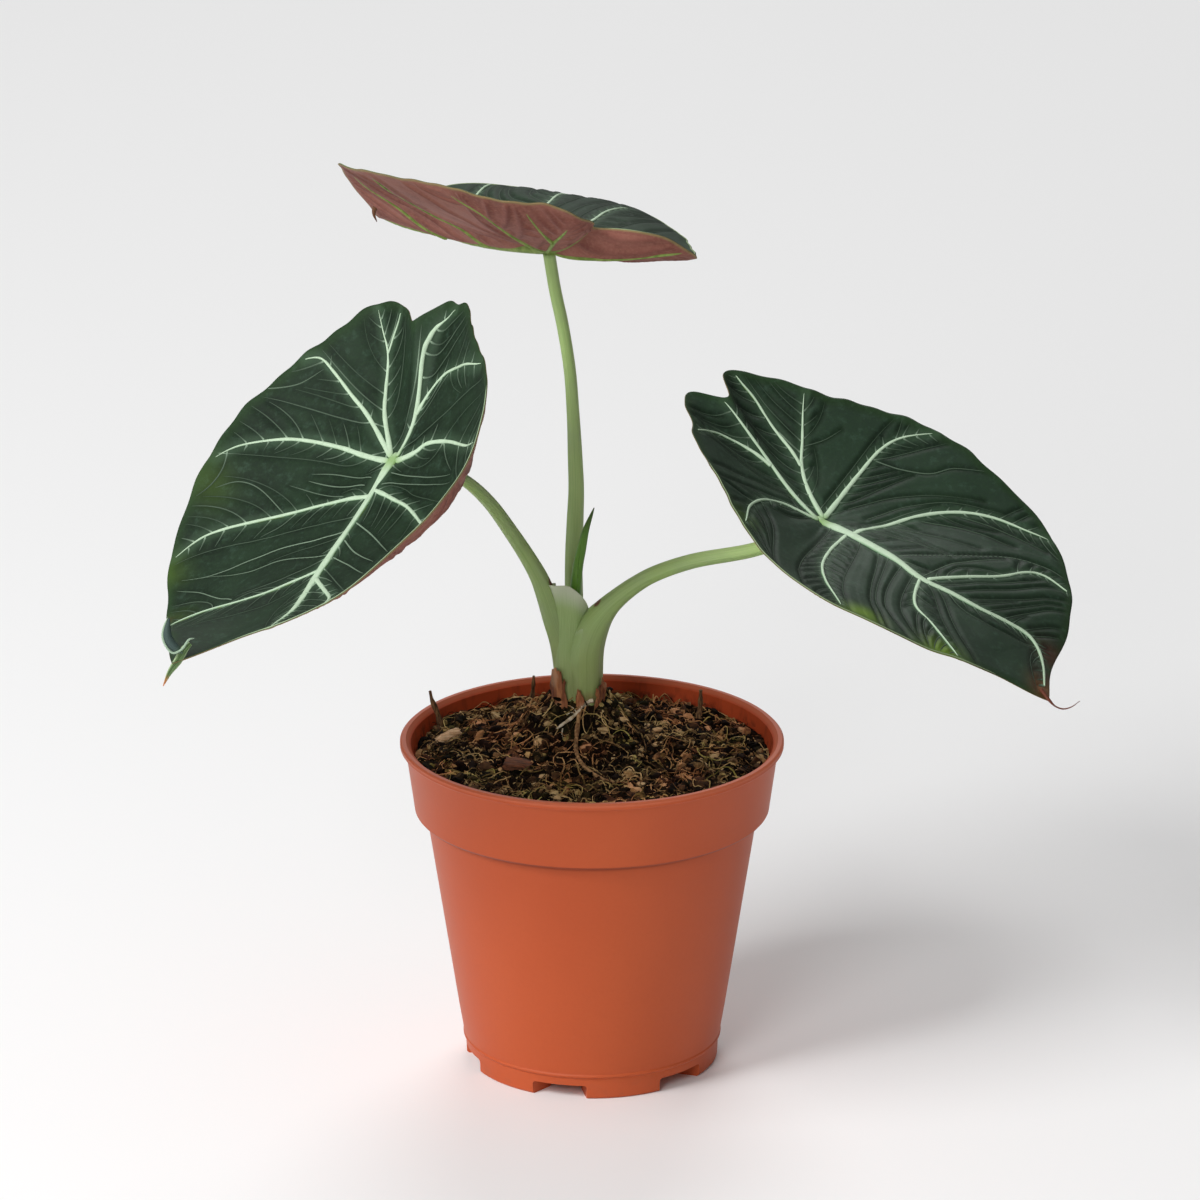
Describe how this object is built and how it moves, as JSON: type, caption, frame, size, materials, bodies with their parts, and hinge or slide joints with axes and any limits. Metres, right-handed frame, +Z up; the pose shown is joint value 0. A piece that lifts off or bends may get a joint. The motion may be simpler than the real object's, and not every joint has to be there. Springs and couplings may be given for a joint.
{
  "type": "potted plant",
  "caption": "Small potted alocasia with dark shield-shaped leaves, pale raised veins and upright sheathed stems in a round tapered plastic nursery pot.",
  "frame": {"origin": "middle of the pot base, on the surface the pot stands on", "axes": "+Z up; -Y towards the viewer of the picture; +X to that viewer's right"},
  "size_m": [0.2416, 0.1752, 0.2553],
  "materials": {
    "leaf_blade": "velvety matt dark green leaf, maroon underneath",
    "leaf_vein": "pale silvery green raised veins",
    "petiole": "smooth waxy pale green stem",
    "new_leaf": "smooth rolled young leaf",
    "corm": "rough brown corm skin",
    "dry_sheath": "dry papery brown sheath",
    "pale_root": "fibrous pale root",
    "tan_root": "fibrous tan root",
    "twig": "dry twig",
    "wood_chip": "bare split wood",
    "bark_chip": "rough bark",
    "potting_mix": "moist crumbly peat and bark",
    "pot_plastic": "satin terracotta-coloured plastic"
  },
  "bodies": {
    "root": {"blade_left": "leaf_blade", "blade_right": "leaf_blade", "blade_top": "leaf_blade", "veins_left": "leaf_vein", "veins_right": "leaf_vein", "veins_top": "leaf_vein", "petiole_left": "petiole", "petiole_right": "petiole", "petiole_top": "petiole", "new_leaf": "new_leaf", "corm": "corm", "sheath_scrap_left": "dry_sheath", "sheath_scrap_front": "dry_sheath", "sheath_scrap_right": "dry_sheath", "surface_root_pale": "pale_root", "surface_root_tan": "tan_root", "twig_left": "twig", "twig_back_left": "twig", "twig_back_right": "twig", "wood_chip": "wood_chip", "bark_chip": "bark_chip", "potting_mix": "potting_mix", "pot": "pot_plastic"}
  },
  "joints": []
}
